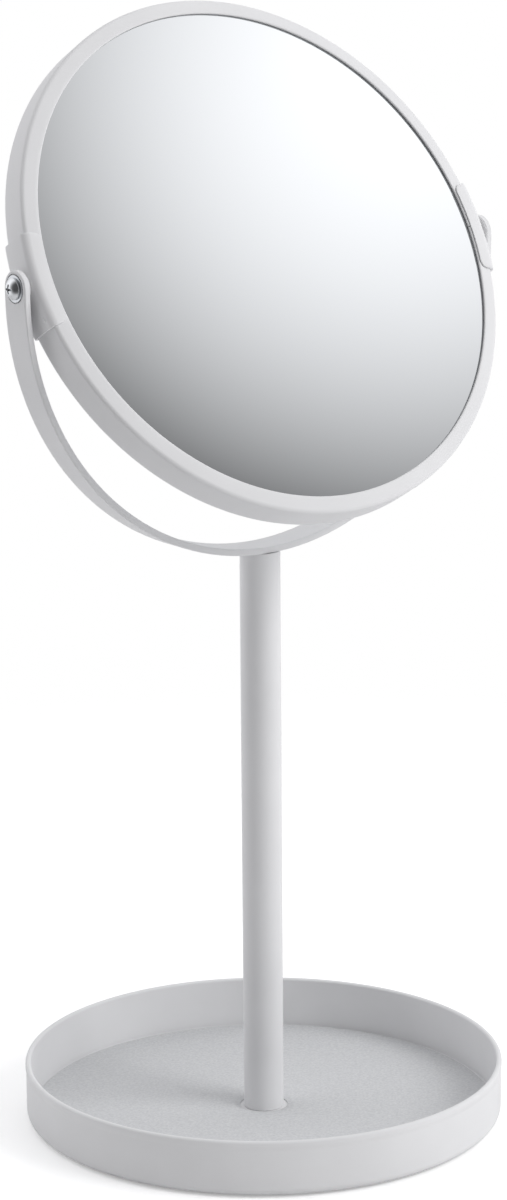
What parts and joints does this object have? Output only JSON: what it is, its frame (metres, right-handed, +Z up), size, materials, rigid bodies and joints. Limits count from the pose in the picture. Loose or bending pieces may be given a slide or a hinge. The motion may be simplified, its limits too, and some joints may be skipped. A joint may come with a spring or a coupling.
{
  "type": "vanity mirror",
  "caption": "Round two-sided mirror in a rolled rim, tilting in a half-ring yoke on a round post, with an open round tray as its base.",
  "frame": {"origin": "middle of the footprint, on the surface the tray stands on", "axes": "+Z up along the post, X along the tilt pivots, -Y towards the user"},
  "size_m": [0.2222, 0.185, 0.4259],
  "materials": {
    "painted_steel": "satin powder coat, pale grey",
    "liner": "fine-grained leatherette, grey",
    "foam_pad": "thin foam sheet",
    "plain_steel": "zinc-plated",
    "mirror_glass": "polished, silvered behind",
    "core_board": "pressed board",
    "nylon": "smooth",
    "chrome": "bright plate"
  },
  "bodies": {
    "stand": {"base_tray": "painted_steel", "tray_liner": "liner", "base_pad": "foam_pad", "post_tube": "painted_steel", "post_foot_plug": "plain_steel", "base_lock_washer": "plain_steel", "base_screw": "plain_steel", "yoke": "painted_steel"},
    "mirror_head": {"front_glass": "mirror_glass", "rear_glass": "mirror_glass", "core_board": "core_board", "upper_rim": "painted_steel", "lower_rim": "painted_steel", "right_sleeve": "painted_steel", "left_sleeve": "painted_steel", "right_boss": "painted_steel", "left_boss": "painted_steel", "right_friction_washer": "nylon", "left_friction_washer": "nylon", "right_spring_washer": "plain_steel", "left_spring_washer": "plain_steel", "right_pivot_screw": "chrome", "left_pivot_screw": "chrome"}
  },
  "joints": [
    {"name": "head_tilt", "type": "hinge", "parent": "stand", "child": "mirror_head", "pos_m": [0, 0, 0.3342], "axis": [1, 0, 0], "continuous": true}
  ]
}
